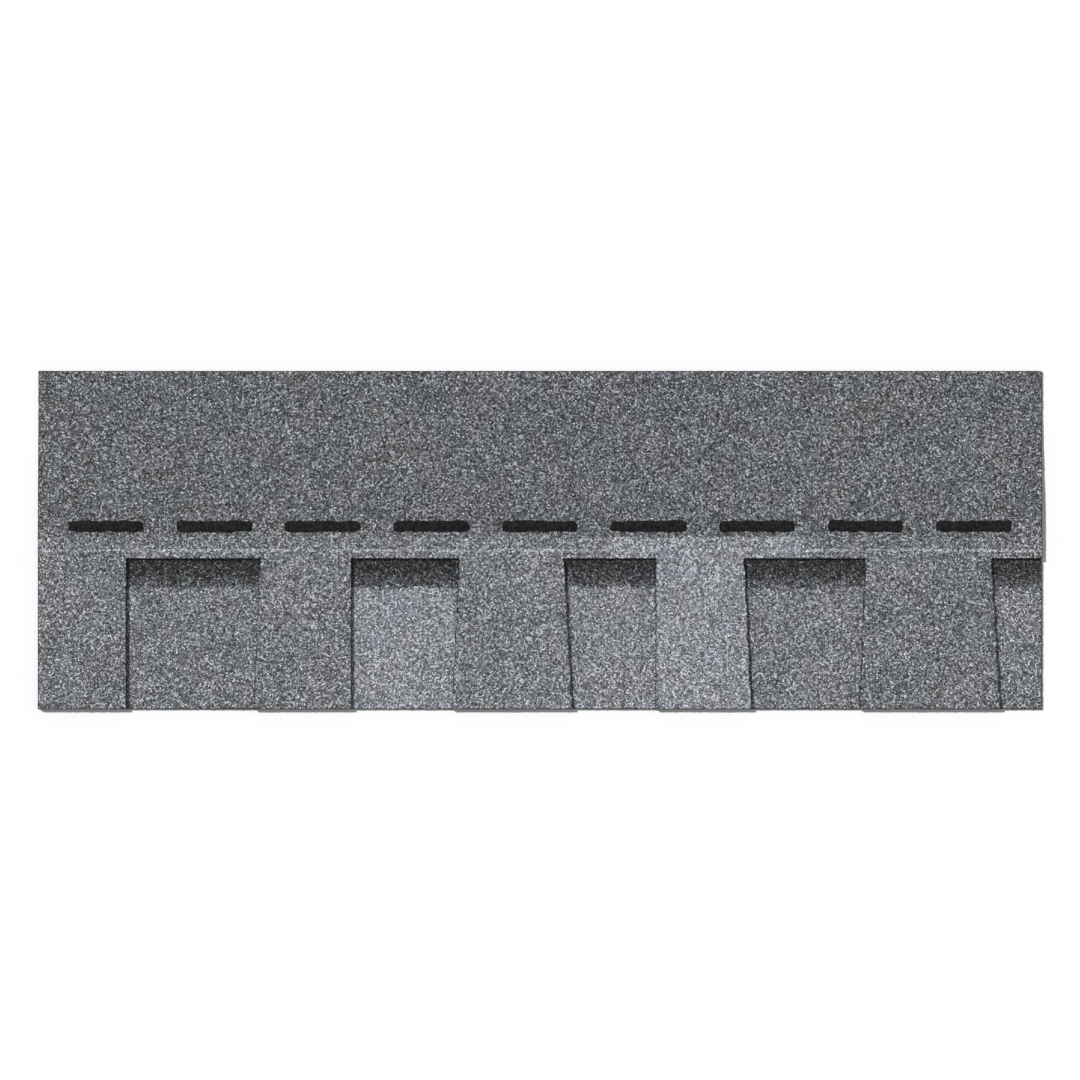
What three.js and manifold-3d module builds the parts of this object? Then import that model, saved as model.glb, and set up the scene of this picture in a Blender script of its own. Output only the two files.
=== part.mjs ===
// Laminated asphalt roofing shingle: a toothed overlay sheet bonded to a plain backer strip.
// It lies face up, unheld, on a level floor: the double part is flat, and the single part above
// the backer sags until its head edge touches the floor.
// Lengths are in millimetres. While it is built, X runs along the shingle from its left end,
// Y from the butt edge up to the head edge, and Z out of the granule face.

import * as THREE from "three";
import { mergeVertices } from "three/addons/utils/BufferGeometryUtils.js";
import Module from "manifold-3d";

// The roof's own measures
const exposure = 143; // height of each course that shows
const headlap = 51; // how far a shingle reaches under the course two above it

// The two sheets
const shingleLength = 1000;
const overlayThickness = 2.5;
const backerThickness = 2.5;
const backerLap = 18; // how far the backer reaches past the cut-outs

// The teeth and the cut-outs between them, from the left end. A tooth's and a cut-out's width are
// taken halfway up the cut. leftFlare and rightFlare are how far the cut-out's two sides lean
// over its whole height: the teeth beside it widen towards the butt edge where it is above 0.
// The last cut-out runs off the right end.
const cutCover = 7; // how far the cut-outs reach under the next course
const toothPattern = [
  { tooth: 88, cutout: 130, leftFlare: 0, rightFlare: 6 },
  { tooth: 94, cutout: 104, leftFlare: 0, rightFlare: 7.5 },
  { tooth: 112, cutout: 87, leftFlare: 8, rightFlare: 0 },
  { tooth: 92, cutout: 114, leftFlare: 7, rightFlare: 6 },
  { tooth: 133, cutout: 110, leftFlare: 9, rightFlare: 0 },
];

// The bond between the sheets: a long strip in the lap above the cut-outs, and rows of short ones
// under each tooth
const bondThickness = 0.5;
const lapBondMargin = 3; // from the long strip's sides to the cut-outs and to the backer's edge
const toothBondHeight = 12;
const toothBondMargin = 14; // from the butt edge to the first row, and from the last to the cuts' tops
const toothBondRows = 3;
const bondEndMargin = 8; // from a strip's end to the tooth's side or the shingle's end

// The sag of the single part of the overlay, from the backer's edge to the floor
const sagOverhang = 4; // the sheet stays level this far past the backer
const sagRun = 128; // level length over which it comes down
const sagSteps = 16;

// Self-sealing adhesive in dashes on the face
const sealantOffset = 8; // from the backer's edge to the dashes
const sealantHeight = 12;
const sealantThickness = 0.8;
const sealantSideSlope = 1.5; // how far each long side leans in from its foot to its top
const sealantDash = 76;
const sealantGap = 32; // between one dash and the next
const sealantEndMargin = 24; // the least from a dash to the shingle's end

// Release film on the back, behind the dashes, which touch it in a stack
const filmMargin = 10; // how far the film reaches past the dashes on the head side
const filmOffset = 6; // from the backer's edge to the film
const filmThickness = 0.1;

const cutOverrun = 5; // how far a cutting prism runs past the faces that it opens

// ---- sizes that follow from these ----

const shingleHeight = 2 * exposure + headlap;
const cutHeight = exposure + cutCover;
const backerHeight = cutHeight + backerLap;
const seatHeight = backerThickness + bondThickness; // underside of the overlay over the backer
const sagStart = backerHeight + sagOverhang;
const sealantStart = backerHeight + sealantOffset;
const sealantEnd = sealantStart + sealantHeight;

// ---- materials ----

const granuleMaterial = new THREE.MeshStandardMaterial({ color: 0x7a7c7f, roughness: 0.95, metalness: 0 });
const backerMaterial = new THREE.MeshStandardMaterial({ color: 0x6f7174, roughness: 0.95, metalness: 0 });
const asphaltMaterial = new THREE.MeshStandardMaterial({ color: 0x151515, roughness: 0.5, metalness: 0 });
const sealantMaterial = new THREE.MeshStandardMaterial({ color: 0x0e0e0f, roughness: 0.3, metalness: 0 });
const filmMaterial = new THREE.MeshStandardMaterial({ color: 0xc9ccd0, roughness: 0.15, metalness: 0 });

// ---- the sagging line that the overlay, the sealant and the film all follow ----

// Height of the underside where the sheet is free to curve, from seatHeight down to the floor.
function curvedUndersideAt(y) {
  const share = THREE.MathUtils.clamp((y - sagStart) / sagRun, 0, 1);
  return seatHeight * (1 - share * share * (3 - 2 * share));
}

// Corners [y, z] of the overlay's underside, from the butt edge to the head edge.
function undersideCorners() {
  const places = [0];
  for (let step = 0; step <= sagSteps; step++) places.push(sagStart + (sagRun * step) / sagSteps);
  const onSheet = places.filter((y) => y < shingleHeight);
  return [...onSheet, shingleHeight].map((y) => [y, curvedUndersideAt(y)]);
}

const underside = undersideCorners();

// Height of the overlay's underside at y, on the straight stretches between its corners.
function undersideAt(y) {
  const next = underside.findIndex((corner) => corner[0] >= y);
  if (next <= 0) return underside[0][1];
  const [yLow, zLow] = underside[next - 1];
  const [yHigh, zHigh] = underside[next];
  return zLow + ((zHigh - zLow) * (y - yLow)) / (yHigh - yLow);
}

// The underside's corners from yStart to yEnd, both included.
function undersideBetween(yStart, yEnd) {
  const inner = underside.filter((corner) => corner[0] > yStart && corner[0] < yEnd);
  return [[yStart, undersideAt(yStart)], ...inner, [yEnd, undersideAt(yEnd)]];
}

// A band that follows the sag: a section in Y and Z, extruded along X from xStart by length.
// lower and upper are its faces' heights above the overlay's underside, and the upper face
// is narrower than the lower one by sideSlope on each long side.
function saggingBand(xStart, length, yStart, yEnd, lower, upper, sideSlope = 0) {
  const foot = undersideBetween(yStart, yEnd).map(([y, z]) => new THREE.Vector2(y, z + lower));
  const top = undersideBetween(yStart + sideSlope, yEnd - sideSlope)
    .map(([y, z]) => new THREE.Vector2(y, z + upper))
    .reverse();
  const geometry = new THREE.ExtrudeGeometry(new THREE.Shape([...foot, ...top]), {
    depth: length,
    bevelEnabled: false,
  });
  // The section's own x and y become Y and Z, and the way it is extruded becomes X.
  geometry.applyMatrix4(
    new THREE.Matrix4().makeBasis(
      new THREE.Vector3(0, 1, 0),
      new THREE.Vector3(0, 0, 1),
      new THREE.Vector3(1, 0, 0),
    ),
  );
  return geometry.translate(xStart, 0, 0);
}

// ---- the teeth ----

// Each tooth's and cut-out's left and right sides halfway up, in order from the left end.
// The pattern starts again where a longer shingle runs past it.
function layOutTeeth() {
  const teeth = [];
  const cuts = [];
  let x = 0;
  for (let index = 0; x < shingleLength; index++) {
    const { tooth, cutout, leftFlare, rightFlare } = toothPattern[index % toothPattern.length];
    teeth.push({ left: x, right: Math.min(x + tooth, shingleLength) });
    x += tooth;
    if (x < shingleLength) cuts.push({ left: x, right: x + cutout, leftFlare, rightFlare });
    x += cutout;
  }
  return { teeth, cuts };
}

const { teeth, cuts } = layOutTeeth();

// The prism that cuts one opening between two teeth, from below the butt edge up to cutHeight.
function cutPrism({ left, right, leftFlare, rightFlare }) {
  const shareBelowMiddle = (y) => (cutHeight / 2 - y) / cutHeight;
  const leftAt = (y) => left + leftFlare * shareBelowMiddle(y);
  const rightAt = (y) => right - rightFlare * shareBelowMiddle(y);
  const outline = new THREE.Shape([
    new THREE.Vector2(leftAt(-cutOverrun), -cutOverrun),
    new THREE.Vector2(rightAt(-cutOverrun), -cutOverrun),
    new THREE.Vector2(rightAt(cutHeight), cutHeight),
    new THREE.Vector2(leftAt(cutHeight), cutHeight),
  ]);
  const depth = overlayThickness + 2 * cutOverrun;
  const geometry = new THREE.ExtrudeGeometry(outline, { depth, bevelEnabled: false });
  return geometry.translate(0, 0, seatHeight - cutOverrun);
}

// ---- booleans ----

const wasm = await Module();
wasm.setup();

function toSolid(geometry) {
  const bare = geometry.clone();
  bare.deleteAttribute("normal");
  bare.deleteAttribute("uv");
  const merged = mergeVertices(bare);
  return new wasm.Manifold(
    new wasm.Mesh({
      numProp: 3,
      vertProperties: new Float32Array(merged.attributes.position.array),
      triVerts: new Uint32Array(merged.index.array),
    }),
  );
}

function toGeometry(solid) {
  const { vertProperties, triVerts } = solid.getMesh();
  const geometry = new THREE.BufferGeometry();
  geometry.setAttribute("position", new THREE.BufferAttribute(vertProperties, 3));
  geometry.setIndex(new THREE.BufferAttribute(triVerts, 1));
  geometry.computeVertexNormals();
  return geometry;
}

// ---- the pieces ----

function namedMesh(name, geometry, material) {
  const mesh = new THREE.Mesh(geometry, material);
  mesh.name = name;
  return mesh;
}

function overlaySheet() {
  const sheet = toSolid(saggingBand(0, shingleLength, 0, shingleHeight, 0, overlayThickness));
  const toothed = cuts.reduce((solid, cut) => solid.subtract(toSolid(cutPrism(cut))), sheet);
  return namedMesh("overlay_sheet", toGeometry(toothed), granuleMaterial);
}

function backerSheet() {
  const geometry = new THREE.BoxGeometry(shingleLength, backerHeight, backerThickness);
  const mesh = namedMesh("backer_sheet", geometry, backerMaterial);
  mesh.position.set(shingleLength / 2, backerHeight / 2, backerThickness / 2);
  return mesh;
}

function bondStrip(name, xStart, xEnd, yStart, yEnd) {
  const geometry = new THREE.BoxGeometry(xEnd - xStart, yEnd - yStart, bondThickness);
  const mesh = namedMesh(name, geometry, asphaltMaterial);
  mesh.position.set((xStart + xEnd) / 2, (yStart + yEnd) / 2, backerThickness + bondThickness / 2);
  return mesh;
}

function lapBond() {
  const xEnd = shingleLength - bondEndMargin;
  const yEnd = backerHeight - lapBondMargin;
  return bondStrip("bond_strip_lap", bondEndMargin, xEnd, cutHeight + lapBondMargin, yEnd);
}

function toothBonds() {
  const bonds = new THREE.Group();
  const lastStart = cutHeight - toothBondMargin - toothBondHeight;
  teeth.forEach(({ left, right }, toothIndex) => {
    const xStart = left + bondEndMargin;
    const xEnd = right - bondEndMargin;
    if (xEnd <= xStart) return;
    for (let row = 0; row < toothBondRows; row++) {
      const name = `bond_strip_tooth_${toothIndex + 1}_${row + 1}`;
      const yStart = THREE.MathUtils.lerp(toothBondMargin, lastStart, row / (toothBondRows - 1));
      bonds.add(bondStrip(name, xStart, xEnd, yStart, yStart + toothBondHeight));
    }
  });
  return bonds;
}

function sealantDashes() {
  const sealant = new THREE.Group();
  const pitch = sealantDash + sealantGap;
  const room = shingleLength - 2 * sealantEndMargin - sealantDash;
  const steps = Math.floor(room / pitch);
  const first = (shingleLength - steps * pitch - sealantDash) / 2;
  for (let index = 0; index <= steps; index++) {
    const geometry = saggingBand(
      first + index * pitch,
      sealantDash,
      sealantStart,
      sealantEnd,
      overlayThickness,
      overlayThickness + sealantThickness,
      sealantSideSlope,
    );
    sealant.add(namedMesh(`sealant_dash_${index + 1}`, geometry, sealantMaterial));
  }
  return sealant;
}

function releaseFilm() {
  const filmStart = backerHeight + filmOffset;
  const filmEnd = sealantEnd + filmMargin;
  const geometry = saggingBand(0, shingleLength, filmStart, filmEnd, -filmThickness, 0);
  return namedMesh("release_film", geometry, filmMaterial);
}

const shingle = new THREE.Group();
shingle.add(backerSheet(), lapBond(), toothBonds(), overlaySheet(), sealantDashes(), releaseFilm());
shingle.position.set(-shingleLength / 2, -shingleHeight / 2, 0);

const part = new THREE.Group();
part.add(shingle);

export default part;
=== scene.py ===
# The looks of a laminated asphalt roofing shingle, face up on a white floor.
# Lengths are in metres, in the frame's own axes: X along the shingle, Y from the butt edge up to
# the head edge, Z out of the granule face.

import math

import bmesh
import bpy
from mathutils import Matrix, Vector


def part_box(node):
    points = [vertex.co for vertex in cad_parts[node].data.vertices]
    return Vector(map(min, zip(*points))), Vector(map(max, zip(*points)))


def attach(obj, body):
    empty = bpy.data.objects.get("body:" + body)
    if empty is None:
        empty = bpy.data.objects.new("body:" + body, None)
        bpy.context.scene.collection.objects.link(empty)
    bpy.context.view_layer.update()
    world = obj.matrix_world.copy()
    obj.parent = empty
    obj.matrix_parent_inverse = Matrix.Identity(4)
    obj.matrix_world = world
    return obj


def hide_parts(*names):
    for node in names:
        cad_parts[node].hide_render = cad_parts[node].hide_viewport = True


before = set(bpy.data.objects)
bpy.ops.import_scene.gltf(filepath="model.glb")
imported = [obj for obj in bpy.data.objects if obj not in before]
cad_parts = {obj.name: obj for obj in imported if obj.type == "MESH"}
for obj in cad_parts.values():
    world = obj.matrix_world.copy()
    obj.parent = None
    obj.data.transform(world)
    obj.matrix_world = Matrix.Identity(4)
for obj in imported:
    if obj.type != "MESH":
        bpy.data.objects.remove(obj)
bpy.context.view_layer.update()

MM = 0.001

# ---- sizes of the two sheets ----

GRANULE = 1.5 * MM  # across one of the larger mineral granules
SMALL_GRANULE = 0.95 * MM  # across one of the smaller ones, which lie between them in clusters
MESH_STEP = 1.8 * MM  # between the points of a granule face
MESH_JITTER = 0.5 * MM  # how far a point strays sideways, so that no rows show
OVERLAY_SEED = 7
BACKER_SEED = 6
CUT_REACH = 4 * MESH_STEP  # a cut divides only the faces that are nearer than this
RELIEF = 0.6 * MM  # from the lowest granule to the highest
RELIEF_GRAIN = MESH_STEP / 2  # so fine that points side by side hardly ever get one height
WAVE_LENGTH = 70 * MM  # of the sheet's slow unevenness
WAVE_HEIGHT = 0.3 * MM  # from its lowest place to its highest
RIM_GRAIN = 1.9 * MM  # of the unevenness of a cut edge
RIM_RAGGED = 0.5 * MM  # from its innermost point to its outermost
WALL_STEPS = 3  # rows of faces down a cut edge
LEVEL = 0.5  # a mesh face whose normal has more Z than this, up or down, isn't in a cut edge

# The names of the two values that each of a sheet's points carries for the finishes.
EDGE_MAP = "cut_edge_nearness"
DEPTH_MAP = "cut_edge_depth"

# How the unit square of a sheet's map is shared out, each strip from its bottom to its top. The
# first three are the face's left half, its right half, and the back where nothing covers it.
OVERLAY_STRIPS = ((0.002, 0.406), (0.410, 0.814), (0.820, 0.924))
BACKER_STRIPS = ((0.002, 0.342), (0.346, 0.686), (0.692, 0.924))
COVERED_BACK_STRIP = (0.930, 0.934)
SIDE_STRIP = (0.940, 0.950)
BUTT_EDGE_STRIP = (0.956, 0.966)
CUT_TOP_STRIP = (0.972, 0.982)
HEAD_EDGE_STRIP = (0.988, 0.998)
EDGE_REACH = 10 * MM  # a cut edge stays this near to its own middle line, and farther from others

# ---- sizes of the sealant's beads ----

BEAD_STEP = 3 * MM  # between the points that a bead is shaped by
BEAD_SHOULDER = 0.3 * MM  # height of its sides
BEAD_FLANK = 0.7  # share of the crown's height that is reached one step in
BEAD_CROWN_EDGE = 1.5 * BEAD_STEP  # in from its sides, past which the crown has its full height
BEAD_SEAT = 0.5 * MM  # how deep it sits among the granules
BEAD_CORNER_PINCH = (0.97, 0.75, 1)  # draws its corners in towards its middle
BEAD_ROUNDING = 2  # how many times its faces are split in four and smoothed
BEAD_WOBBLE_LENGTH = 9 * MM  # of its edges
BEAD_WOBBLE = 2 * MM
BEAD_LUMP_LENGTH = 5 * MM  # of its top
BEAD_LUMP = 0.4 * MM

# ---- sizes of the floor, light and camera ----

FLOOR_SIZE = 12
FLOOR_DROP = 0.1 * MM  # keeps the floor clear of the backs
FLOOR_WHITE = 0.95
KEY_DIRECTION = (0.9, -0.65, -1)
KEY_LEVEL = 0.75  # share of the light that a level white surface gets from the key
KEY_SOFTNESS = 0.06  # the angle that the key fills, in radians
SURROUND_LEVEL = 0.3
LENS = 85  # in the camera's own units, beside its sensor_width
FRAME_SHARE = 0.93  # of the picture's width that the shingle fills

# ---- places from the frame ----

SNAP = 0.01 * MM  # corners nearer than this are in one place


def distinct(values):
    """The values in order, with those that lie within SNAP of another left out."""
    kept = []
    for value in sorted(values):
        if not kept or value - kept[-1] > SNAP:
            kept.append(value)
    return kept


overlay_low, overlay_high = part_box("overlay_sheet")
backer_low, backer_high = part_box("backer_sheet")
butt_y = overlay_low.y
overlay_corners = [corner.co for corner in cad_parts["overlay_sheet"].data.vertices]
face_z = overlay_high.z  # the overlay's face where it lies on the backer
face_corners = [c for c in overlay_corners if c.z > face_z - SNAP]
sag_start = max(c.y for c in face_corners)
underside_z = min(c.z for c in overlay_corners if c.y < sag_start)
thickness = face_z - underside_z
sag = overlay_low.z - underside_z
sag_end = min(c.y for c in overlay_corners if abs(c.z - overlay_low.z - thickness) < SNAP)
sag_stations = distinct(c.y for c in overlay_corners if sag_start <= c.y <= sag_end)
cut_top_y = distinct(c.y for c in face_corners)[1]

# Each side of a cut-out as its x at the butt edge and at the cut-out's top, from the left.
side_feet = distinct(c.x for c in face_corners if c.y < butt_y + SNAP)[1:]
side_tops = distinct(c.x for c in face_corners if abs(c.y - cut_top_y) < SNAP)
cut_sides = list(zip(side_feet, side_tops))


def side_x(side, y):
    """Where a cut-out's side is at y."""
    foot, top = side
    return foot + (top - foot) * (y - butt_y) / (cut_top_y - butt_y)


def middle_of(side):
    """Where a cut-out's side is halfway up."""
    return (side[0] + side[1]) / 2


def in_cutout(point):
    """A point is in a cut-out when an odd number of sides lies to its left."""
    if point.y > cut_top_y:
        return False
    return sum(point.x > side_x(side, point.y) for side in cut_sides) % 2 == 1


# ---- modelling by hand ----


def begin(ob):
    """Makes ob the one selected object."""
    bpy.ops.object.select_all(action="DESELECT")
    ob.select_set(True)
    bpy.context.view_layer.objects.active = ob


def edit(mode):
    """Opens the active object's mesh with nothing selected, to select by VERT or FACE."""
    bpy.ops.object.mode_set(mode="EDIT")
    bpy.ops.mesh.select_mode(type=mode)
    bpy.ops.mesh.select_all(action="DESELECT")


def pick(ob, wanted):
    """Selects the points or faces, by the select mode in use, that wanted says yes to."""
    shape = bmesh.from_edit_mesh(ob.data)
    bpy.ops.mesh.select_all(action="DESELECT")
    for item in shape.verts if "VERT" in shape.select_mode else shape.faces:
        item.select_set(wanted(item))
    shape.select_flush_mode()
    bmesh.update_edit_mesh(ob.data)


def pick_open_edges():
    """Selects the edges that have a face on one side only."""
    bpy.ops.mesh.select_mode(type="EDGE")
    bpy.ops.mesh.select_all(action="DESELECT")
    bpy.ops.mesh.select_non_manifold(
        extend=False,
        use_wire=False,
        use_boundary=True,
        use_multi_face=False,
        use_non_contiguous=False,
        use_verts=False,
    )


def finish_editing():
    bpy.ops.object.mode_set(mode="OBJECT")


def apply_place(ob):
    """Moves the object's place into its mesh."""
    begin(ob)
    bpy.ops.object.transform_apply(location=True, rotation=True, scale=True)


def open_grid(name, centre, length, width, step):
    """Adds a flat grid of that size round its centre, and leaves it open and all selected."""
    bpy.ops.mesh.primitive_grid_add(
        x_subdivisions=round(length / step),
        y_subdivisions=round(width / step),
        size=1,
        location=centre,
    )
    ob = bpy.context.object
    ob.name = name
    edit("VERT")
    bpy.ops.mesh.select_all(action="SELECT")
    bpy.ops.transform.resize(value=(length, width, 1), center_override=centre)
    return ob


def mark(ob, group):
    """Puts the selected points in a vertex group."""
    ob.vertex_groups.new(name=group)
    bpy.ops.object.vertex_group_assign()


def give_material(ob, material):
    """Puts a material on the selected faces."""
    ob.data.materials.append(material)
    ob.active_material_index = len(ob.data.materials) - 1
    bpy.ops.object.material_slot_assign()


def roughen(ob, group, size, height, direction, basis):
    """Moves the points of a group along one axis, by a noise of that grain size. The height is
    from the noise's lowest value to its highest."""
    noise = bpy.data.textures.new(f"{ob.name}_{group}_{direction}_{basis}", "CLOUDS")
    noise.noise_scale = size
    noise.noise_basis = basis
    noise.noise_depth = 0
    modifier = ob.modifiers.new(noise.name, "DISPLACE")
    modifier.texture = noise
    modifier.texture_coords = "LOCAL"
    modifier.direction = direction
    modifier.strength = height
    modifier.vertex_group = group
    begin(ob)
    bpy.ops.object.modifier_apply(modifier=modifier.name)


# ---- writing materials ----

SCREEN_POWER = 2.25  # turns a screen's shade into a linear one, near enough for nodes


def linear(shade):
    """The linear value of a shade as it shows on a screen, both from 0 to 1."""
    return shade / 12.92 if shade <= 0.04045 else ((shade + 0.055) / 1.055) ** 2.4


def grey(level):
    """A colour whose channels are all at that level."""
    return (level, level, level, 1)


class Finish:
    """A material, and short calls that add nodes to its tree and join them."""

    def __init__(self, name):
        self.material = bpy.data.materials.new(name)
        self.material.use_nodes = True
        self.tree = self.material.node_tree
        self.shader = self.tree.nodes["Principled BSDF"]

    def put(self, socket, value):
        """Gives an input a value, or joins another node's output to it."""
        if isinstance(value, bpy.types.NodeSocket):
            self.tree.links.new(value, socket)
        else:
            socket.default_value = value

    def fill(self, node, **inputs):
        """Fills a node's inputs, whose names are written with _ for a space."""
        for key, value in inputs.items():
            self.put(node.inputs[key.replace("_", " ")], value)

    def add(self, kind, settings=None, **inputs):
        """Adds a node with its settings, and fills its inputs."""
        node = self.tree.nodes.new(f"ShaderNode{kind}")
        for key, value in (settings or {}).items():
            setattr(node, key, value)
        self.fill(node, **inputs)
        return node

    def math(self, operation, first, second=0.0, third=0.0):
        node = self.add("Math", {"operation": operation})
        for socket, value in zip(node.inputs, (first, second, third)):
            self.put(socket, value)
        return node.outputs["Value"]

    def vector(self, operation, first, second=(0, 0, 0)):
        node = self.add("VectorMath", {"operation": operation})
        for socket, value in zip(node.inputs, (first, second)):
            self.put(socket, value)
        return node.outputs["Vector"]

    def parts(self, vector):
        """The three values that a vector or a colour is made of."""
        return self.add("SeparateXYZ", Vector=vector).outputs

    def mix(self, share, first, second, blend="MIX"):
        """A colour between first and second, or second blended over first."""
        node = self.add("Mix", {"data_type": "RGBA", "blend_type": blend})
        for name, value in (("Factor", share), ("A", first), ("B", second)):
            kind = "VALUE" if name == "Factor" else "RGBA"
            socket = next(i for i in node.inputs if i.name == name and i.type == kind)
            self.put(socket, value)
        return next(o for o in node.outputs if o.type == "RGBA")

    def ramp(self, value, stops):
        """A ramp of greys. stops are (position, level)."""
        node = self.add("ValToRGB", Fac=value)
        elements = node.color_ramp.elements
        while len(elements) < len(stops):
            elements.new(1.0)
        for element, (position, level) in zip(elements, stops):
            element.position = position
            element.color = grey(level)
        return node.outputs["Color"]

    def step(self, value, start, end):
        """0 where value is short of start, 1 where it is past end, and smooth between them.
        start may also be the greater of the two."""
        node = self.add("MapRange", {"interpolation_type": "SMOOTHSTEP"}, Value=value)
        node.inputs["From Min"].default_value = start
        node.inputs["From Max"].default_value = end
        return node.outputs["Result"]

    def noise(self, place, size, detail=2.0):
        """Noise from 0 to 1 whose lumps are about that size."""
        return self.add("TexNoise", Vector=place, Scale=1 / size, Detail=detail).outputs["Fac"]

    def stray(self, place, size, most, detail=2.0):
        """Noise from -most to most whose lumps are about that size."""
        return self.math("MULTIPLY_ADD", self.noise(place, size, detail), 2 * most, -most)

    def jolt(self, place, size, most):
        """The place moved by up to that distance each way, in lumps of that size."""
        lumps = self.add("TexNoise", Vector=place, Scale=1 / size, Detail=0.0).outputs["Color"]
        centred = self.vector("SUBTRACT", lumps, (0.5, 0.5, 0.5))
        return self.vector("ADD", place, self.vector("MULTIPLY", centred, (2 * most,) * 3))

    def cells(self, place, size, feature="F1", dimensions="2D"):
        """Cells of about that size, like crushed stones. In 2D they are seen from above."""
        settings = {"voronoi_dimensions": dimensions, "feature": feature}
        return self.add("TexVoronoi", settings, Vector=place, Scale=1 / size).outputs

    def place(self):
        return self.add("TexCoord").outputs["Object"]

    def shine(self, colour, roughness, **others):
        """Fills the shader's colour and roughness, and whichever of its other inputs are given."""
        self.fill(self.shader, Base_Color=colour, Roughness=roughness, **others)

    def bump(self, height, strength, distance, **others):
        """Makes the surface look higher where height is greater."""
        node = self.add("Bump", Height=height, Strength=strength, Distance=distance, **others)
        self.fill(self.shader, Normal=node.outputs["Normal"])


# ---- granules ----

# Shades are as they show on a screen, from 0 to 1.
MID_SHADE = 123 / 255
LIGHT_SHADE = 147 / 255
TOOTH_SHADES = (MID_SHADE, MID_SHADE, 127 / 255, LIGHT_SHADE, 119 / 255)  # from the left
CUTOUT_SHADES = (MID_SHADE, 146 / 255, 135 / 255, 125 / 255, 125 / 255)
ZONE_EDGE = 3 * MM  # half the width over which one blend gives way to the next
ASPHALT_SHADE = 34 / 255

# How far single granules are from the shade of their blend: the share of granules that are
# darker, and how much lighter (or darker, below 0) this one is.
GRANULE_SPREAD = (
    (0.0, -0.30),
    (0.05, -0.25),
    (0.15, -0.17),
    (0.32, -0.08),
    (0.50, 0.0),
    (0.68, 0.08),
    (0.85, 0.14),
    (0.95, 0.19),
    (1.0, 0.23),
)
BLACKEST = 0.06  # no granule is darker than this
WHITEST = 0.88  # or lighter than this

SMALL_SHARE = 0.4  # of the larger granules' places, held by clusters of small ones
RESHUFFLE = 7.0  # the fraction of this many times a random value is as good as a new one
CROOKED_LENGTH = 0.8 * GRANULE  # of the kinks in a granule's outline
CROOKED = 0.35 * MM  # how far the outline strays from straight sides
SEAM_SHADE = 0.5  # of the dark asphalt between granules, beside their own shade
SEAM_WIDTH = 0.1  # the most that a granule falls short of its neighbour, over its own size
STONE_SHOULDER = 0.13  # how far in from its edge a granule is as high as it gets, likewise
SEAM_MAKEUP = 1.33  # lightens every granule by what the seams and the relief take away
FACET_TILT = 0.22  # the most that a granule's face leans to one side, as a slope
STONE_SMOOTHEST = 0.7  # roughness of the smoothest granule and of the roughest
STONE_ROUGHEST = 0.95
STONE_GLOSS = 0.3
STONE_BUMP = 0.6
STONE_HEIGHT = GRANULE / 3

# Faint tints in patches: each channel, beside green, swings between two strengths.
RED_TINT = (0.934, 0.972)
BLUE_TINT = (1.052, 1.092)
LIGHT_BLEND_BLUE = 0.25  # how much bluer a blend gets as it gets lighter, over the two shades' gap
ODD_TINT = 0.03  # how much a single granule may stray from its patch's tint
PATCH_SIZE = 55 * MM
BLUE_PATCH_SIZE = 0.7 * PATCH_SIZE
PATCH_EDGE = (0.4, 0.6)  # the noise's values between which one tint gives way to the other
PATCH_STRAY = 0.03  # the most that a patch's shade strays from its blend's
ELSEWHERE = (3.1, 1.7, 0.0)  # so far off that the patches there tell nothing of the ones here

# The edge map is 1 on a cut edge and falls to 0 at the next points. With a stray added to it,
# a dark rim begins at the first of these values and is whole at the second: partly bare asphalt
# where the die tore the granules off, partly painted shade along the cut edges.
TORN_AND_SHADED = (0.5, 0.75)
TORN_AND_SHADED_STRAY = 0.4
TORN_AND_SHADED_LENGTH = 2 * GRANULE

HEADLAP_SHADE = 106 / 255
HEADLAP_EDGE = (2 * MM, 5 * MM)  # above the backer: where its plain granules begin and are alone
HEADLAP_STRAY = 4 * MM  # the most that this edge strays
HEADLAP_STRAY_LENGTH = 6 * MM

PAINT_SHADE = 172 / 255
NAIL_LINE = 8 * MM  # above the tops of the cut-outs
NAIL_LINE_EDGE = (1.5 * MM, 1 * MM)  # from its middle: where the paint begins and is whole
PAINT_SPOT = 5 * MM
PAINT_WORN = (0.35, 0.5)  # the noise's values where the paint is all gone and all there

BAND_SHADE = 86 / 255  # of the shadow band where it begins
BAND_TOP_WITH_PAINTED_SHADOW = 44 / 255  # and under the cut-outs' tops, darker partly by the band's print and partly by painted shadow
BAND_HEIGHT = 29 * MM  # up to the cut-outs' tops
BAND_PAINTED_SHADOW_TOP = 8 * MM  # the darkest part of it, partly print and partly painted shadow
BAND_EDGE = 1 * MM  # half the width over which the band begins
BAND_STRAY = 5 * MM  # the most that its edge strays
BAND_STRAY_LENGTH = 7 * MM


def zone_shades(finish, x, zones):
    """The blend's shade along X. zones are (x of its left edge, shade)."""
    reach = overlay_high.x - overlay_low.x
    stops = [(0.0, zones[0][1])]
    for (_, before), (edge, after) in zip(zones, zones[1:]):
        middle = (edge - overlay_low.x) / reach
        stops += [(middle - ZONE_EDGE / reach, before), (middle + ZONE_EDGE / reach, after)]
    along = finish.math("MULTIPLY_ADD", x, 1 / reach, -overlay_low.x / reach)
    return finish.ramp(along, stops)


def swing(finish, place, size, low, high):
    """A value that is low in some patches and high in the others."""
    patches = finish.step(finish.noise(place, size, detail=1), *PATCH_EDGE)
    return finish.math("MULTIPLY_ADD", patches, high - low, low)


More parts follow.
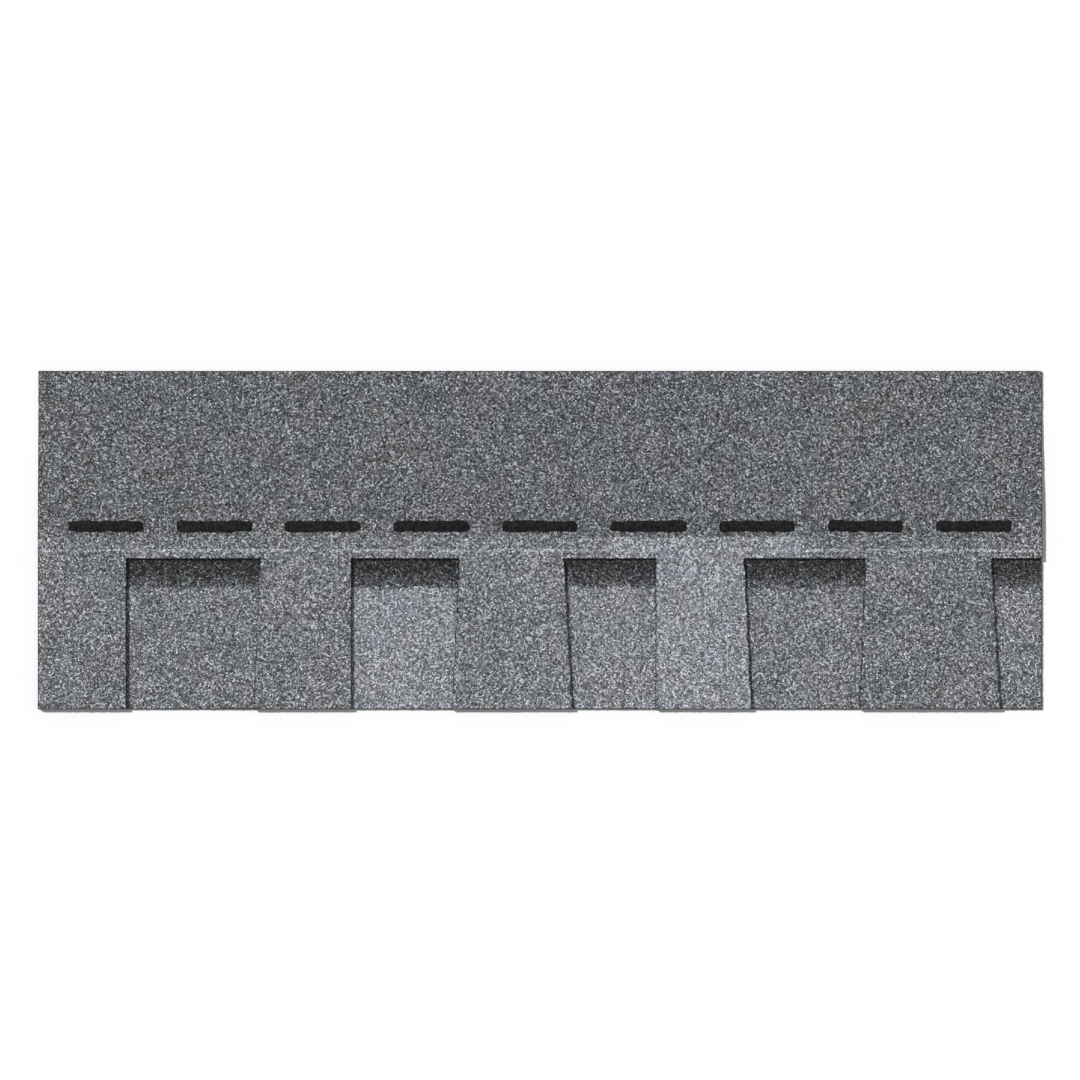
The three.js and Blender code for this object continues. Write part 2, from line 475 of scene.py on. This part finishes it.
def tinted(finish, place, level, blend_shade, chance):
    """Tints a grey in patches, light blends bluer, and single granules a little more."""
    odd = finish.math("MULTIPLY_ADD", chance, ODD_TINT, -ODD_TINT / 2)
    elsewhere = finish.vector("ADD", place, ELSEWHERE)
    red = finish.math("ADD", swing(finish, place, PATCH_SIZE, *RED_TINT), odd)
    blue = finish.math("SUBTRACT", swing(finish, elsewhere, BLUE_PATCH_SIZE, *BLUE_TINT), odd)
    lighter = finish.math("SUBTRACT", blend_shade, MID_SHADE)
    blue = finish.math("MULTIPLY_ADD", lighter, LIGHT_BLEND_BLUE, blue)
    tint = finish.add("CombineColor", Red=red, Green=1.0, Blue=blue)
    return finish.mix(1.0, level, tint.outputs["Color"], "MULTIPLY")


def spread_out(finish, chance, shade):
    """The shade of a single granule of a blend, from a random value for each."""
    spread = finish.ramp(chance, [(share, 0.5 + shift) for share, shift in GRANULE_SPREAD])
    return finish.math("ADD", shade, finish.math("SUBTRACT", spread, 0.5))


def granules(name, zones, marking):
    """A face of mineral granules. marking(finish, place, y, shade) changes the blend's shade
    where the sheet has a band, a headlap or a painted line, and returns the new shade."""
    finish = Finish(name)
    place = finish.place()
    random, to_seam, middle = crushed_stones(finish, place)
    chance, second, third = finish.parts(random)
    x, y, _ = finish.parts(middle)

    blend_shade = zone_shades(finish, x, zones)
    patch = finish.stray(place, PATCH_SIZE, PATCH_STRAY, detail=1)
    shade = marking(finish, place, y, finish.math("ADD", blend_shade, patch))
    shade = spread_out(finish, chance, shade)
    in_from_seam = finish.math("MULTIPLY_ADD", second, -SEAM_WIDTH, to_seam)
    stone = finish.step(in_from_seam, 0.0, STONE_SHOULDER)
    sunk = finish.math("MULTIPLY_ADD", stone, 1 - SEAM_SHADE, SEAM_SHADE)
    shade = finish.math("MULTIPLY", finish.math("MULTIPLY", shade, sunk), SEAM_MAKEUP)
    # Darkens a rim along the cut edges: bare asphalt, and painted shade.
    shade = finish.mix(torn_and_shaded_edge(finish, place), shade, grey(ASPHALT_SHADE))
    shade = finish.math("MINIMUM", finish.math("MAXIMUM", shade, BLACKEST), WHITEST)
    level = finish.math("POWER", shade, SCREEN_POWER)

    colour = tinted(finish, place, level, blend_shade, third)
    more_rough = STONE_ROUGHEST - STONE_SMOOTHEST
    roughness = finish.math("MULTIPLY_ADD", second, more_rough, STONE_SMOOTHEST)
    finish.shine(colour, roughness, Specular_IOR_Level=STONE_GLOSS)
    finish.bump(stone, STONE_BUMP, STONE_HEIGHT, Normal=tilted(finish, second, third))
    return finish.material


def crushed_stones(finish, place):
    """Granules of two sizes, seen from above. Returns three random values for each granule, how
    far in from its seam a point is, beside the larger size, and the middle of its place."""
    crooked = finish.jolt(place, CROOKED_LENGTH, CROOKED)
    large = finish.cells(crooked, GRANULE)
    small = finish.cells(crooked, SMALL_GRANULE)
    to_large_seam = finish.cells(crooked, GRANULE, "DISTANCE_TO_EDGE")["Distance"]
    to_small_seam = finish.cells(crooked, SMALL_GRANULE, "DISTANCE_TO_EDGE")["Distance"]
    lot = finish.parts(large["Color"])["Z"]
    lot = finish.math("FRACT", finish.math("MULTIPLY", lot, RESHUFFLE))
    is_large = finish.math("GREATER_THAN", lot, SMALL_SHARE)
    random = finish.mix(is_large, small["Color"], large["Color"])
    inside_small = finish.math("MULTIPLY_ADD", to_small_seam, SMALL_GRANULE / GRANULE, is_large)
    to_seam = finish.math("MINIMUM", to_large_seam, inside_small)
    return random, to_seam, large["Position"]


def tilted(finish, toward_x, toward_y):
    """The surface's direction, leant to a random side on each granule."""
    chances = finish.add("CombineXYZ", X=toward_x, Y=toward_y, Z=0.5).outputs["Vector"]
    centred = finish.vector("SUBTRACT", chances, (0.5, 0.5, 0.5))
    lean = finish.vector("MULTIPLY", centred, (2 * FACET_TILT, 2 * FACET_TILT, 0))
    straight = finish.add("NewGeometry").outputs["Normal"]
    return finish.vector("NORMALIZE", finish.vector("ADD", straight, lean))


def torn_and_shaded_edge(finish, place):
    """A dark rim along a cut edge: 1 where the die tore the granules off and the asphalt shows,
    partly real and partly painted shade.
    """
    nearness = finish.add("Attribute", {"attribute_name": EDGE_MAP}).outputs["Fac"]
    stray = finish.stray(place, TORN_AND_SHADED_LENGTH, TORN_AND_SHADED_STRAY, detail=1)
    return finish.step(finish.math("ADD", nearness, stray), *TORN_AND_SHADED)


def headlap_and_nail_line(finish, place, y, shade):
    """Plain dark granules above the backer, and a thin painted line in the nail zone."""
    stray = finish.stray(place, HEADLAP_STRAY_LENGTH, HEADLAP_STRAY)
    begins, is_alone = (backer_high.y + rise for rise in HEADLAP_EDGE)
    headlap = finish.step(finish.math("ADD", y, stray), begins, is_alone)
    shade = finish.mix(headlap, shade, grey(HEADLAP_SHADE))
    from_line = finish.math("ABSOLUTE", finish.math("SUBTRACT", y, cut_top_y + NAIL_LINE))
    on_line = finish.step(from_line, *NAIL_LINE_EDGE)
    unworn = finish.step(finish.noise(place, PAINT_SPOT), *PAINT_WORN)
    return finish.mix(finish.math("MULTIPLY", on_line, unworn), shade, grey(PAINT_SHADE))


def shadow_band(finish, place, y, shade):
    """A band of dark granules across the backer, where the cut-outs' tops are. Towards those tops
    it
    darkens further: partly its print, partly painted shadow.
    """
    stray = finish.stray(place, BAND_STRAY_LENGTH, BAND_STRAY)
    band_low = cut_top_y - BAND_HEIGHT
    band = finish.step(finish.math("ADD", y, stray), band_low - BAND_EDGE, band_low + BAND_EDGE)
    # Painted shadow, with the band's own print: darker up towards the cut-outs' tops.
    up_into_painted_shadow = finish.step(y, band_low, cut_top_y - BAND_PAINTED_SHADOW_TOP)
    band_with_painted_shadow = finish.ramp(up_into_painted_shadow, [(0.0, BAND_SHADE), (1.0, BAND_TOP_WITH_PAINTED_SHADOW)])
    return finish.mix(band, shade, band_with_painted_shadow)


def zones_between(sides, shades):
    """Zones of a face. One gives way to the next midway between the first and second of the
    sides, between the third and fourth, and so on."""
    middles = [(middle_of(a) + middle_of(b)) / 2 for a, b in zip(sides[::2], sides[1::2])]
    return list(zip([overlay_low.x] + middles, shades))


# The overlay's blends change in the middle of a cut-out, and the backer's behind that of a tooth.
overlay_zones = zones_between(cut_sides, TOOTH_SHADES)
backer_zones = zones_between(cut_sides[1:], CUTOUT_SHADES)
overlay_finish = granules("granules_overlay", overlay_zones, headlap_and_nail_line)
backer_finish = granules("granules_backer", backer_zones, shadow_band)


# ---- asphalt, cut edges, sanded backs and film ----

# Where a thing shows in spots or tufts, two values of the noise say where it begins and where
# it is whole.
MOTTLE = ((0.35, 0.5), (0.65, 1.9))  # of bare asphalt: the noise's value, and times its own shade
MOTTLE_BUMP = 1.0
WET_SPOTS = (0.5, 0.62)
WET_SPOT_SIZE = 0.8  # beside a lump's
WET_ROUGHNESS = 0.12  # of asphalt where it shines, and where it doesn't
DULL_ROUGHNESS = 0.8
ASPHALT_GLOSS = 0.08

# A cut edge, from 0 at the sheet's face to 1 at its back.
LAYER_DEPTH = 0.28  # of the granules
LAYER_EDGE = 0.05  # half the depth over which they give way to asphalt
LAYER_STRAY = 0.15
SECTION_SHADE = 88 / 255  # of a granule seen there
SECTION_ROUND = (0.75, 0.35)  # from a granule's middle, over its size: its end, and its flat top
MAT_DEPTH = 0.6
MAT_THICKNESS = 0.08
MAT_SHADE = 92 / 255
FIBRE_TUFT = 2 * MM
FIBRES = (0.45, 0.6)
FLECK = 0.5 * MM
FLECKS = (0.6, 0.7)
FLECK_SHADE = 72 / 255
CUT_ROUGHNESS = 0.7
CUT_BUMP = 0.7
CUT_RELIEF = 0.3 * MM

SAND_GRAIN = 0.8 * MM
SAND_SHADES = ((0.3, 0.18), (0.6, 0.26), (0.85, 0.34), (1.0, 0.46))  # share darker, and shade
SAND_SMEAR = 40 * MM
SAND_SMEAR_STRAY = 0.25
SAND_ROUGHNESS = 0.85
SAND_BUMP = 0.3
SAND_RELIEF = 0.2 * MM

WRINKLE = 4 * MM
WRINKLE_STRETCH = (0.15, 1, 1)  # makes them long along the shingle
WRINKLE_SHADES = ((0.3, 0.45), (0.7, 0.62))  # the noise's value, and the shade there
FILM_ROUGHNESS = 0.18
FILM_COAT = 0.5
FILM_BUMP = 0.4
FILM_RELIEF = 0.4 * MM


def asphalt(name, shade, lump, relief):
    """Bare asphalt, with lumps of that size and relief, wet-looking in spots and dull between."""
    finish = Finish(name)
    place = finish.place()
    mottle = finish.noise(place, lump, detail=3)
    colour = finish.ramp(mottle, [(value, linear(shade * beside)) for value, beside in MOTTLE])
    wet = finish.step(finish.noise(place, lump * WET_SPOT_SIZE), *WET_SPOTS)
    roughness = finish.math("MULTIPLY_ADD", wet, WET_ROUGHNESS - DULL_ROUGHNESS, DULL_ROUGHNESS)
    finish.shine(colour, roughness, Specular_IOR_Level=ASPHALT_GLOSS)
    finish.bump(mottle, MOTTLE_BUMP, relief)
    return finish.material


def cut_through():
    """A cut edge: the granules' layer in section, black asphalt flecked with stone dust, and the
    glass mat as a thin pale line."""
    finish = Finish("cut_edge")
    place = finish.place()
    depth = finish.add("Attribute", {"attribute_name": DEPTH_MAP}).outputs["Fac"]
    stones = finish.cells(place, SMALL_GRANULE, dimensions="3D")
    stone_shade = spread_out(finish, finish.parts(stones["Color"])["X"], SECTION_SHADE)
    round_off = finish.step(stones["Distance"], *SECTION_ROUND)
    stone_shade = finish.math("MULTIPLY", stone_shade, round_off)

    dust = finish.step(finish.noise(place, FLECK, detail=1), *FLECKS)
    asphalt_shade = finish.math("MULTIPLY_ADD", dust, FLECK_SHADE - ASPHALT_SHADE, ASPHALT_SHADE)
    from_mat = finish.math("ABSOLUTE", finish.math("SUBTRACT", depth, MAT_DEPTH))
    on_mat = finish.math("LESS_THAN", from_mat, MAT_THICKNESS / 2)
    fibres = finish.step(finish.noise(place, FIBRE_TUFT, detail=3), *FIBRES)
    on_mat = finish.math("MULTIPLY", on_mat, fibres)
    asphalt_shade = finish.mix(on_mat, asphalt_shade, grey(MAT_SHADE))

    ragged = finish.math("ADD", depth, finish.stray(place, SMALL_GRANULE, LAYER_STRAY))
    under = finish.step(ragged, LAYER_DEPTH - LAYER_EDGE, LAYER_DEPTH + LAYER_EDGE)
    shade = finish.mix(under, stone_shade, asphalt_shade)
    level = finish.math("POWER", finish.math("MAXIMUM", shade, BLACKEST), SCREEN_POWER)
    finish.shine(level, CUT_ROUGHNESS, Specular_IOR_Level=STONE_GLOSS)
    finish.bump(finish.math("SUBTRACT", round_off, under), CUT_BUMP, CUT_RELIEF)
    return finish.material


def sanded_asphalt():
    """The sheets' backs: black asphalt dusted with fine pale sand."""
    finish = Finish("sanded_back")
    place = finish.place()
    chance = finish.parts(finish.cells(place, SAND_GRAIN)["Color"])["X"]
    smear = finish.stray(place, SAND_SMEAR, SAND_SMEAR_STRAY, detail=3)
    stops = [(share, linear(shade)) for share, shade in SAND_SHADES]
    finish.shine(finish.ramp(finish.math("ADD", chance, smear), stops), SAND_ROUGHNESS)
    finish.bump(chance, SAND_BUMP, SAND_RELIEF)
    return finish.material


def release_plastic():
    """Thin clear film over asphalt, with fine wrinkles along it."""
    finish = Finish("release_plastic")
    stretched = finish.add("Mapping", Vector=finish.place(), Scale=WRINKLE_STRETCH)
    wrinkle = finish.noise(stretched.outputs["Vector"], WRINKLE)
    colour = finish.ramp(wrinkle, [(value, linear(shade)) for value, shade in WRINKLE_SHADES])
    finish.shine(colour, FILM_ROUGHNESS, Coat_Weight=FILM_COAT)
    finish.bump(wrinkle, FILM_BUMP, FILM_RELIEF)
    return finish.material


cut_edge_finish = cut_through()
bond_finish = asphalt("bond_asphalt", shade=0.1, lump=3 * MM, relief=0.2 * MM)
sealant_finish = asphalt("sealant", shade=0.08, lump=2.5 * MM, relief=0.5 * MM)
back_finish = sanded_asphalt()
film_finish = release_plastic()


# ---- the two sheets ----


def flat_face(name, low, high, seed):
    """A fine grid over a sheet's whole face, its inner points strayed sideways."""
    centre = Vector(((low.x + high.x) / 2, (low.y + high.y) / 2, high.z))
    ob = open_grid(name, centre, high.x - low.x, high.y - low.y, MESH_STEP)
    pick(ob, lambda point: not point.is_boundary)
    bpy.ops.transform.vertex_random(offset=MESH_JITTER, seed=seed)
    bpy.ops.mesh.select_all(action="SELECT")
    bpy.ops.transform.resize(value=(1, 1, 0), center_override=centre)
    finish_editing()
    apply_place(ob)
    return ob


def cut_teeth(ob):
    """Cuts the face along the cut-outs' sides and tops, and takes the cut-outs out."""
    begin(ob)
    edit("FACE")
    pick(ob, lambda face: abs(face.calc_center_median().y - cut_top_y) < CUT_REACH)
    bpy.ops.mesh.bisect(plane_co=(0, cut_top_y, 0), plane_no=(0, 1, 0))
    for foot, top in cut_sides:
        low, high = min(foot, top) - CUT_REACH, max(foot, top) + CUT_REACH
        pick(ob, lambda face: below_cut_top(face) and low < face.calc_center_median().x < high)
        along = Vector((top - foot, cut_top_y - butt_y, 0))
        bpy.ops.mesh.bisect(plane_co=(foot, butt_y, 0), plane_no=(along.y, -along.x, 0))
    pick(ob, lambda face: in_cutout(face.calc_center_median()))
    bpy.ops.mesh.delete(type="FACE")
    finish_editing()


def below_cut_top(face):
    return face.calc_center_median().y < cut_top_y


def thicken(ob, depth):
    """Draws the face's open edges down into cut edges and closes the sheet's back."""
    begin(ob)
    edit("VERT")
    bpy.ops.mesh.select_all(action="SELECT")
    mark(ob, "face")
    pick_open_edges()
    for _ in range(WALL_STEPS):
        bpy.ops.mesh.extrude_region_move(
            TRANSFORM_OT_translate={"value": (0, 0, -depth / WALL_STEPS)}
        )
        bpy.ops.object.vertex_group_remove_from(use_all_groups=True)
    bpy.ops.mesh.edge_face_add()
    finish_editing()


def is_back(face):
    return face.normal.z < -LEVEL


def is_wall(face):
    return abs(face.normal.z) < LEVEL


def part_back(ob, places):
    """Cuts the back across at each of the places, and leaves no gap."""
    begin(ob)
    edit("FACE")
    for y in places:
        pick(ob, is_back)
        bpy.ops.mesh.bisect(plane_co=(0, y, 0), plane_no=(0, 1, 0))
    finish_editing()


def sag_head(ob):
    """Lets the part above the backer down until the head edge meets the floor."""
    part_back(ob, sag_stations)
    begin(ob)
    edit("VERT")
    pick(ob, lambda point: point.co.y > sag_end - SNAP)
    bpy.ops.transform.translate(
        value=(0, 0, sag),
        use_proportional_edit=True,
        proportional_edit_falloff="SMOOTH",
        proportional_size=sag_end - sag_start,
    )
    finish_editing()


def surface(ob, face_material):
    """Gives a closed flat sheet its three materials, its relief and its uneven cut edges."""
    heights = [point.co.z for point in ob.data.vertices]
    begin(ob)
    edit("FACE")
    bpy.ops.mesh.select_all(action="SELECT")
    give_material(ob, face_material)
    pick(ob, is_wall)
    give_material(ob, cut_edge_finish)
    bpy.ops.mesh.select_mode(type="VERT")
    mark(ob, "rim")
    bpy.ops.mesh.select_mode(type="FACE")
    pick(ob, is_back)
    give_material(ob, back_finish)
    bpy.ops.mesh.select_mode(type="VERT")
    bpy.ops.object.vertex_group_set_active(group="rim")
    bpy.ops.object.vertex_group_remove_from()
    finish_editing()
    roughen(ob, "face", RELIEF_GRAIN, RELIEF, "Z", "CELL_NOISE")
    roughen(ob, "face", WAVE_LENGTH, WAVE_HEIGHT, "Z", "BLENDER_ORIGINAL")
    for direction in "XY":
        roughen(ob, "rim", RIM_GRAIN, RIM_RAGGED, direction, "ORIGINAL_PERLIN")
    map_edges(ob, max(heights), min(heights))


def map_edges(ob, top, bottom):
    """Writes down, for the finishes, which points lie on a cut edge and how far down it."""
    rim = ob.vertex_groups["rim"].index
    nearness = ob.data.attributes.new(EDGE_MAP, "FLOAT", "POINT")
    for point, entry in zip(ob.data.vertices, nearness.data):
        entry.value = 1.0 if any(member.group == rim for member in point.groups) else 0.0
    depth = ob.data.attributes.new(DEPTH_MAP, "FLOAT", "POINT")
    for point, entry in zip(ob.data.vertices, depth.data):
        entry.value = (top - point.co.z) / (top - bottom)


def within(strip, share):
    return strip[0] + (strip[1] - strip[0]) * min(max(share, 0), 1)


def lay_out_for_baking(ob, low, high, strips, bare_from):
    """Lays the flat sheet out in the unit square: its face in two halves, one above the other,
    its back, which nothing covers from bare_from on, and each of its cut edges in a place of its
    own. The halves have a mesh step to spare at each end, for faces that lie across the middle."""
    left_face, right_face, back = strips
    middle = (low.x + high.x) / 2
    length, height, depth = high.x - low.x, high.y - low.y, high.z - low.z
    sides = [low.x] + [middle_of(side) for side in cut_sides] + [high.x]
    flat_map = ob.data.uv_layers[0]
    flat_map.name = "OFBake"
    for face in ob.data.polygons:
        centre, normal = face.center, face.normal
        left_half = centre.x < middle
        passed = sum(side < centre.x + EDGE_REACH for side in sides)
        if centre.y < cut_top_y - EDGE_REACH:
            edge_strip = BUTT_EDGE_STRIP
        else:
            edge_strip = HEAD_EDGE_STRIP if centre.y > cut_top_y + EDGE_REACH else CUT_TOP_STRIP
        for corner in face.loop_indices:
            point = ob.data.vertices[ob.data.loops[corner].vertex_index].co
            along, up = (point.x - low.x) / length, (point.y - low.y) / height
            drop = (high.z - point.z) / depth
            if normal.z > LEVEL:
                start = low.x if left_half else middle
                place = (
                    (point.x - start + MESH_STEP) / (length / 2 + 2 * MESH_STEP),
                    within(left_face if left_half else right_face, up),
                )
            elif is_back(face) and centre.y < bare_from:
                place = (along, within(COVERED_BACK_STRIP, up))
            elif is_back(face):
                place = (along, within(back, (point.y - bare_from) / (high.y - bare_from)))
            elif abs(normal.x) > abs(normal.y):
                place = ((passed - 1 + up) / len(sides), within(SIDE_STRIP, drop))
            else:
                place = (along, within(edge_strip, drop))
            flat_map.data[corner].uv = place


def make_overlay():
    low = Vector((overlay_low.x, overlay_low.y, underside_z))
    ob = flat_face("overlay", low, overlay_high, OVERLAY_SEED)
    cut_teeth(ob)
    thicken(ob, thickness)
    surface(ob, overlay_finish)
    part_back(ob, [backer_high.y])
    lay_out_for_baking(ob, low, overlay_high, OVERLAY_STRIPS, backer_high.y)
    sag_head(ob)
    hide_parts("overlay_sheet")
    return ob


def make_backer():
    ob = flat_face("backer", backer_low, backer_high, BACKER_SEED)
    thicken(ob, backer_high.z - backer_low.z)
    surface(ob, backer_finish)
    lay_out_for_baking(ob, backer_low, backer_high, BACKER_STRIPS, backer_low.y)
    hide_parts("backer_sheet")
    return ob


# ---- sealant ----


def make_bead():
    """One dash of sealant: a strip laid hot, so with soft corners and a low crown."""
    low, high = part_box("sealant_dash_1")
    length, width = high.x - low.x, high.y - low.y
    base = Vector(((low.x + high.x) / 2, (low.y + high.y) / 2, low.z + BEAD_SHOULDER))
    ob = open_grid("sealant_1", base, length, width, BEAD_STEP)
    pick(ob, lambda point: len(point.link_edges) == 2)
    bpy.ops.transform.resize(value=BEAD_CORNER_PINCH, center_override=base)
    crown = high.z - base.z
    pick(ob, lambda point: not point.is_boundary)
    bpy.ops.transform.translate(value=(0, 0, crown * BEAD_FLANK))
    pick(ob, lambda point: abs(point.co.y) < width / 2 - BEAD_CROWN_EDGE)
    bpy.ops.transform.translate(value=(0, 0, crown * (1 - BEAD_FLANK)))
    pick_open_edges()
    seat = {"value": (0, 0, -BEAD_SHOULDER - BEAD_SEAT)}
    bpy.ops.mesh.extrude_region_move(TRANSFORM_OT_translate=seat)
    bpy.ops.mesh.edge_face_add()
    finish_editing()
    apply_place(ob)
    ob.data.materials.append(sealant_finish)
    return ob


def copy_to(ob, name, offset):
    """A copy with its own mesh, moved by the offset."""
    begin(ob)
    bpy.ops.object.duplicate_move(TRANSFORM_OT_translate={"value": offset})
    copy = bpy.context.object
    copy.name = name
    apply_place(copy)
    return copy


def soften(ob, levels):
    """Rounds a coarse closed shape off."""
    modifier = ob.modifiers.new("soften", "SUBSURF")
    modifier.levels = modifier.render_levels = levels
    begin(ob)
    bpy.ops.object.modifier_apply(modifier=modifier.name)
    bpy.ops.object.shade_smooth()


def run_uneven(bead):
    """Rounds a bead off, and makes its edges and its top uneven in a way set by where it lies."""
    begin(bead)
    edit("VERT")
    bpy.ops.mesh.select_all(action="SELECT")
    mark(bead, "all")
    finish_editing()
    soften(bead, BEAD_ROUNDING)
    for direction in "XY":
        roughen(bead, "all", BEAD_WOBBLE_LENGTH, BEAD_WOBBLE, direction, "BLENDER_ORIGINAL")
    roughen(bead, "all", BEAD_LUMP_LENGTH, BEAD_LUMP, "Z", "BLENDER_ORIGINAL")


def make_sealant():
    """A bead at each of the CAD's dashes, no two with the same edges."""
    first = make_bead()
    start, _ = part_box("sealant_dash_1")
    nodes = [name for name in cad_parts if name.startswith("sealant_dash")]
    beads = [first]
    for number in range(2, len(nodes) + 1):
        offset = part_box(f"sealant_dash_{number}")[0] - start
        beads.append(copy_to(first, f"sealant_{number}", offset))
    for number, bead in enumerate(beads, 1):
        run_uneven(bead)
        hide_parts(f"sealant_dash_{number}")
    return beads


# ---- the pieces ----

for piece in (make_overlay(), make_backer(), *make_sealant()):
    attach(piece, "root")


def finish_node(name, material):
    """Gives a CAD node a better material."""
    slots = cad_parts[name].data.materials
    slots.clear()
    slots.append(material)


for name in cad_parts:
    if name.startswith("bond_strip"):
        finish_node(name, bond_finish)
finish_node("release_film", film_finish)


# ---- floor, light and camera ----


def make_floor():
    """A plain white floor that shows the shingle's shadow."""
    bpy.ops.mesh.primitive_plane_add(size=FLOOR_SIZE, location=(0, 0, -FLOOR_DROP))
    floor = bpy.context.object
    floor.name = "floor"
    finish = Finish("white_floor")
    finish.shine(grey(FLOOR_WHITE), 1.0, Specular_IOR_Level=0.0)
    floor.data.materials.append(finish.material)


def make_light():
    """A soft key from above the left and head side, and an even surround. To look at and in
    reflections the surround is white, and it lights the shingle only at its own level."""
    direction = Vector(KEY_DIRECTION)
    bpy.ops.object.light_add(type="SUN", rotation=direction.to_track_quat("-Z", "Y").to_euler())
    key = bpy.context.object.data
    key.energy = KEY_LEVEL * math.pi * direction.length / abs(direction.z)
    key.angle = KEY_SOFTNESS

    world = bpy.data.worlds.new("surround")
    bpy.context.scene.world = world
    world.use_nodes = True
    tree = world.node_tree
    background = tree.nodes["Background"]
    background.inputs["Color"].default_value = grey(1)
    path = tree.nodes.new("ShaderNodeLightPath")
    strength = tree.nodes.new("ShaderNodeMapRange")
    strength.inputs["To Min"].default_value = SURROUND_LEVEL
    strength.inputs["To Max"].default_value = 1.0
    white = path.outputs["Is Camera Ray"]
    for ray in ("Is Glossy Ray", "Is Transmission Ray"):
        either = tree.nodes.new("ShaderNodeMath")
        either.operation = "MAXIMUM"
        tree.links.new(white, either.inputs[0])
        tree.links.new(path.outputs[ray], either.inputs[1])
        white = either.outputs["Value"]
    tree.links.new(white, strength.inputs["Value"])
    tree.links.new(strength.outputs["Result"], background.inputs["Strength"])


def make_camera():
    """A long lens looking straight down, with the head edge up in the picture."""
    sight = (overlay_high.x - overlay_low.x) / FRAME_SHARE
    bpy.ops.object.camera_add(rotation=(0, 0, 0))
    camera = bpy.context.object
    camera.data.lens = LENS
    camera.location = (0, 0, overlay_high.z + sight * LENS / camera.data.sensor_width)
    bpy.context.scene.camera = camera


make_floor()
make_light()
make_camera()
bpy.context.scene.view_settings.view_transform = "Standard"
